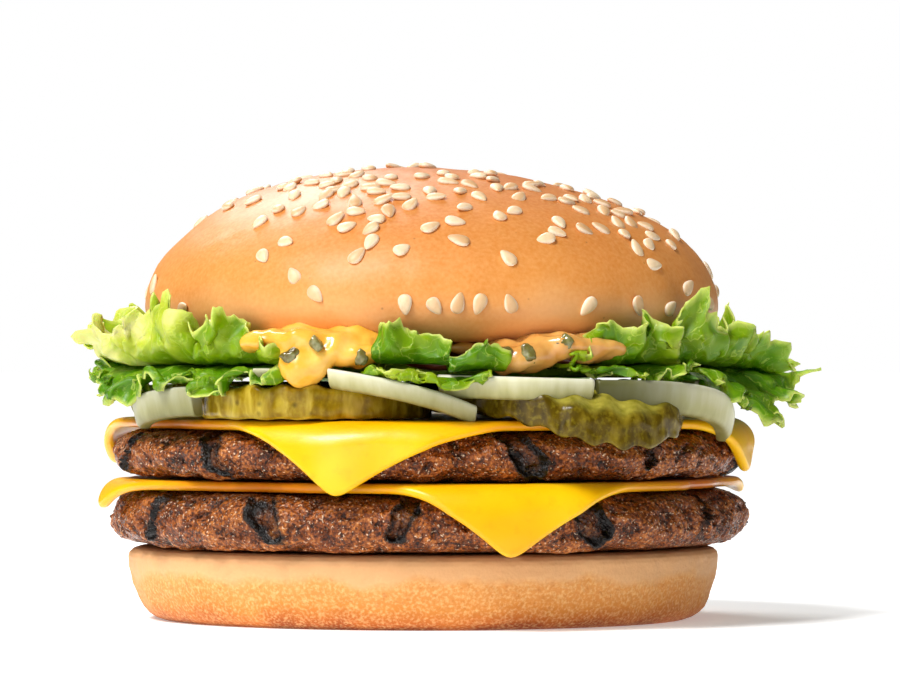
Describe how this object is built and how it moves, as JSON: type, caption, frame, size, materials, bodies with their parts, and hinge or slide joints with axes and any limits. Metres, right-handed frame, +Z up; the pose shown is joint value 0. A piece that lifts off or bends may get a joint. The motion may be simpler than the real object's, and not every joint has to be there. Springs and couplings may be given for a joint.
{
  "type": "double bacon cheeseburger",
  "caption": "Tall burger in a sesame-seeded bun, with grilled beef patties, melted cheese slices, crinkle-cut pickles, onion, sauce, bacon and curly lettuce.",
  "frame": {"origin": "middle of the flat underside of the lower bun, on the surface that the burger stands on", "axes": "+Z up through the stack, +X to the right as the shown side is looked at, -Y towards the viewer"},
  "size_m": [0.1304, 0.1212, 0.0818],
  "materials": {
    "bread_crown": "glazed golden bun top with a soft sheen and ivory seeds",
    "bread_heel": "matte toasted bun base with fine pores",
    "grilled_beef": "rough browned minced beef with glossy char marks",
    "melted_cheese": "smooth glossy melted slice",
    "pickle": "wet crinkle-cut slice with darker skin",
    "onion": "wet translucent white ring",
    "bacon": "crisp fried rasher with a greasy sheen",
    "sauce": "thick glossy sauce with relish bits",
    "lettuce": "fresh curly leaf with pale veins and edges"
  },
  "bodies": {
    "root": {"heel": "bread_heel", "patty_lower": "grilled_beef", "patty_upper": "grilled_beef", "cheese_lower": "melted_cheese", "cheese_upper": "melted_cheese", "pickle_left": "pickle", "pickle_right": "pickle", "pickle_far_right": "pickle", "pickle_far_left": "pickle", "pickle_back": "pickle", "onion_left": "onion", "onion_strip": "onion", "onion_middle": "onion", "onion_right": "onion", "onion_small": "onion", "onion_back_right": "onion", "onion_back_left": "onion", "lettuce_bed": "lettuce", "bacon": "bacon", "sauce": "sauce", "crown": "bread_crown", "lettuce_left_upper": "lettuce", "lettuce_left_lower": "lettuce", "lettuce_centre_upper": "lettuce", "lettuce_centre_right": "lettuce", "lettuce_centre_lower": "lettuce", "lettuce_right_upper": "lettuce", "lettuce_right_lower": "lettuce", "lettuce_far_right_upper": "lettuce", "lettuce_far_right_lower": "lettuce", "lettuce_back_right_upper": "lettuce", "lettuce_back_right_lower": "lettuce", "lettuce_back_lower": "lettuce", "lettuce_back_upper": "lettuce", "lettuce_back_left_upper": "lettuce", "lettuce_back_left_lower": "lettuce"}
  },
  "joints": []
}
